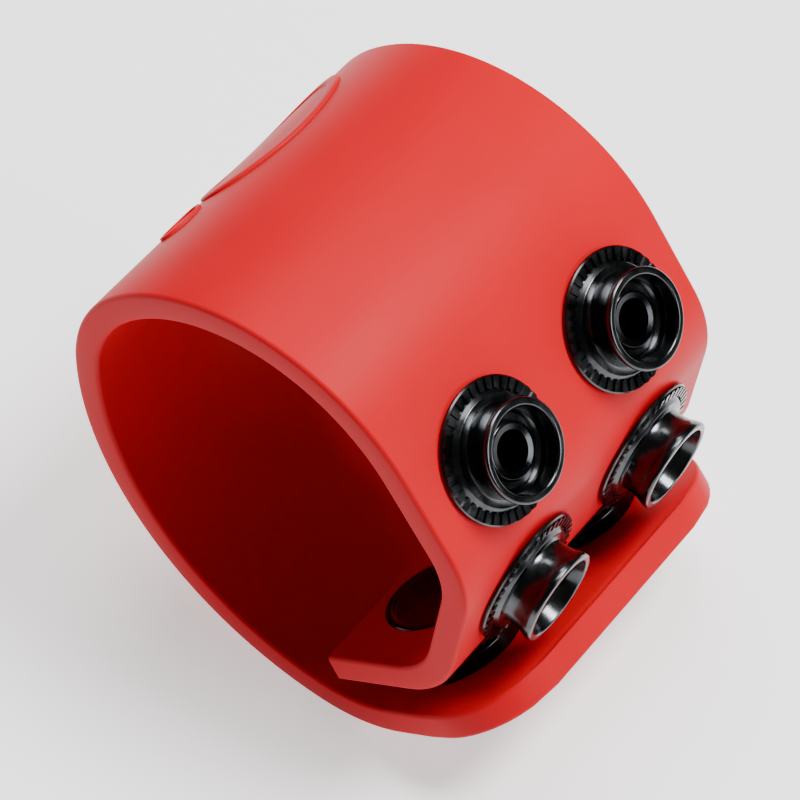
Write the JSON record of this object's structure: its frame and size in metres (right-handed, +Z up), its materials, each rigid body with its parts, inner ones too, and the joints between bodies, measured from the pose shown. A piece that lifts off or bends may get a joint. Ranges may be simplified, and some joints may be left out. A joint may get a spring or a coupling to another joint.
{
  "type": "snap-fastened silicone wrist cuff",
  "caption": "Wide moulded silicone wrist cuff rolled into an oval loop and closed by metal snaps, with spare snap rows for a tighter fit.",
  "frame": {"origin": "middle of the oval wrist opening, half way along the cuff's width", "axes": "+Y runs through the wrist opening to the far side edge, +X points towards the snap side, +Z is up with the cuff lying on its bend and its two snap caps"},
  "size_m": [0.0599, 0.0466, 0.0568],
  "materials": {
    "silicone": "satin",
    "gunmetal": "polished black nickel",
    "spring_wire": "bright"
  },
  "bodies": {
    "cuff": {"eyelet_a_far": "gunmetal", "eyelet_a_near": "gunmetal", "eyelet_b_far": "gunmetal", "eyelet_b_near": "gunmetal", "eyelet_c_far": "gunmetal", "eyelet_c_near": "gunmetal", "strap_band": "silicone", "stud_a_far": "gunmetal", "stud_a_near": "gunmetal", "stud_b_far": "gunmetal", "stud_b_near": "gunmetal", "stud_c_far": "gunmetal", "stud_c_near": "gunmetal"},
    "tail": {"cap_far": "gunmetal", "cap_near": "gunmetal", "socket_far": "gunmetal", "socket_near": "gunmetal", "socket_spring_far": "spring_wire", "socket_spring_near": "spring_wire", "strap_tail": "silicone"}
  },
  "joints": [
    {"name": "tail_peel", "type": "hinge", "parent": "cuff", "child": "tail", "pos_m": [0.00926, 0, -0.02844], "axis": [0, 1, 0], "range_deg": [0, 28], "stiffness_Nm_per_rad": 0.0135, "springref_deg": -17.19, "deforming": ["socket_spring_near", "socket_spring_far"]}
  ]
}
